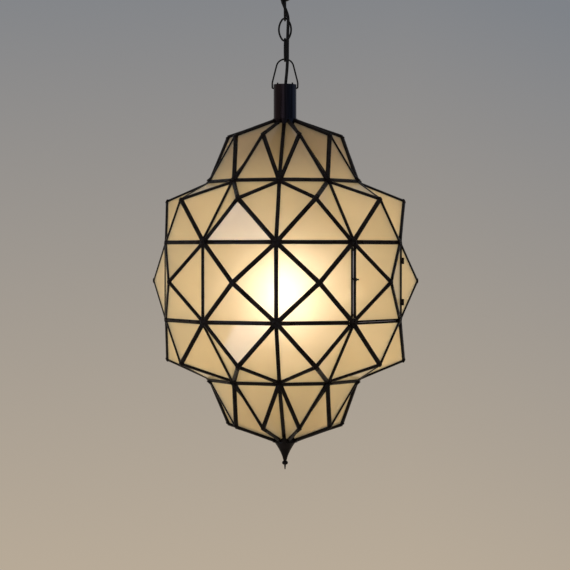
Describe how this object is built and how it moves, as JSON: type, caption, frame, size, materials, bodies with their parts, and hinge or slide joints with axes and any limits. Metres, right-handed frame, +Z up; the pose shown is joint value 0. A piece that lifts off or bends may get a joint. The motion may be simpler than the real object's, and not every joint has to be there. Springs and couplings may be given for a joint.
{
  "type": "faceted glass pendant lantern",
  "caption": "Faceted milk-glass pendant lantern with black soldered seams, hinged glass door, turned finial, wire bail, chain, cord and ceiling canopy; hangs and gives soft light.",
  "frame": {"origin": "centre of the mounting strap's top face, on the ceiling", "axes": "+Z up out of the ceiling face, -Y the front that faces the viewer, +X to the viewer's right"},
  "size_m": [0.3992, 0.3822, 0.7677],
  "materials": {
    "blackened_metal": "black patina, satin to glossy",
    "neck_metal": "dark oxidised sheet metal, glossy",
    "solder": "black patina over solder, rounded and glossy",
    "milk_glass": "frosted milk glass",
    "cord_sheath": "matt black sheath",
    "holder_plastic": "moulded, matt",
    "holder_ceramic": "glazed insulator",
    "bare_brass": "bare",
    "bulb_glass": "opal bulb glass",
    "zinc_steel": "zinc plated"
  },
  "bodies": {
    "ceiling_fitting": {"mounting_strap": "zinc_steel", "ceiling_rod": "zinc_steel", "ceiling_nut": "zinc_steel", "ceiling_canopy": "blackened_metal", "suspension_loop": "blackened_metal", "ceiling_lead": "cord_sheath", "cord_at_loop": "cord_sheath"},
    "chain_link_3": {"chain_link_3": "blackened_metal", "cord_at_link_3": "cord_sheath"},
    "chain_link_2": {"chain_link_2": "blackened_metal", "cord_at_link_2": "cord_sheath"},
    "chain_link_1": {"chain_link_1": "blackened_metal", "cord_at_link_1": "cord_sheath"},
    "bail": {"bail": "blackened_metal", "cord_at_neck": "cord_sheath"},
    "lantern": {"neck_tube": "neck_metal", "neck_plate": "neck_metal", "neck_ferrule": "neck_metal", "stem": "zinc_steel", "stem_nuts": "zinc_steel", "cord_grommet": "holder_plastic", "inner_lead": "cord_sheath", "lampholder_cap": "holder_plastic", "lampholder_skirt": "holder_plastic", "lampholder_core": "holder_ceramic", "lampholder_thread_shell": "bare_brass", "bulb_glass": "bulb_glass", "bulb_cap": "zinc_steel", "base_cup": "blackened_metal", "finial": "blackened_metal", "finial_nut": "zinc_steel", "upper_crown_panes": "milk_glass", "upper_shoulder_panes": "milk_glass", "belt_panes": "milk_glass", "lower_shoulder_panes": "milk_glass", "lower_crown_panes": "milk_glass", "upper_crown_seams": "solder", "upper_star_seams": "solder", "upper_shoulder_seams": "solder", "belt_ridge_seams": "solder", "belt_ring_seams": "solder", "belt_upright_seams": "solder", "lower_crown_seams": "solder", "lower_star_seams": "solder", "lower_shoulder_seams": "solder", "upper_solder_joints": "solder", "belt_solder_joints": "solder", "lower_solder_joints": "solder", "hinge_leaves_fixed": "blackened_metal", "hinge_pins": "zinc_steel", "latch_keeper": "blackened_metal"},
    "door": {"door_panes": "milk_glass", "door_ridge_seams": "solder", "door_frame": "solder", "door_solder_joints": "solder", "hinge_leaves_door": "blackened_metal", "latch_rivet": "blackened_metal"},
    "latch": {"latch_hook": "blackened_metal"}
  },
  "joints": [
    {"name": "loop_to_link_3", "type": "hinge", "parent": "ceiling_fitting", "child": "chain_link_3", "pos_m": [0, 0, -0.06905], "axis": [1, 0, 0], "range_deg": [-20, 20], "deforming": ["cord_at_loop"]},
    {"name": "link_3_to_link_2", "type": "hinge", "parent": "chain_link_3", "child": "chain_link_2", "pos_m": [0, 0, -0.0988], "axis": [0, 1, 0], "range_deg": [-20, 20], "deforming": ["cord_at_link_3"]},
    {"name": "link_2_to_link_1", "type": "hinge", "parent": "chain_link_2", "child": "chain_link_1", "pos_m": [0, 0, -0.1289], "axis": [1, 0, 0], "range_deg": [-20, 20], "deforming": ["cord_at_link_2"]},
    {"name": "link_1_to_bail", "type": "hinge", "parent": "chain_link_1", "child": "bail", "pos_m": [0, 0, -0.159], "axis": [0, 1, 0], "range_deg": [-20, 20], "deforming": ["cord_at_link_1"]},
    {"name": "bail_to_neck", "type": "hinge", "parent": "bail", "child": "lantern", "pos_m": [0, 0, -0.1994], "axis": [1, 0, 0], "range_deg": [-30, 30], "deforming": ["cord_at_neck"]},
    {"name": "door_hinge", "type": "hinge", "parent": "lantern", "child": "door", "pos_m": [0.17567, -0.05708, -0.48588], "axis": [0, 0, 1], "range_deg": [0, 120]},
    {"name": "latch_pivot", "type": "hinge", "parent": "door", "child": "latch", "pos_m": [0.10953, -0.14736, -0.48188], "axis": [-0.5878, 0.809, 0], "range_deg": [0, 80]}
  ]
}
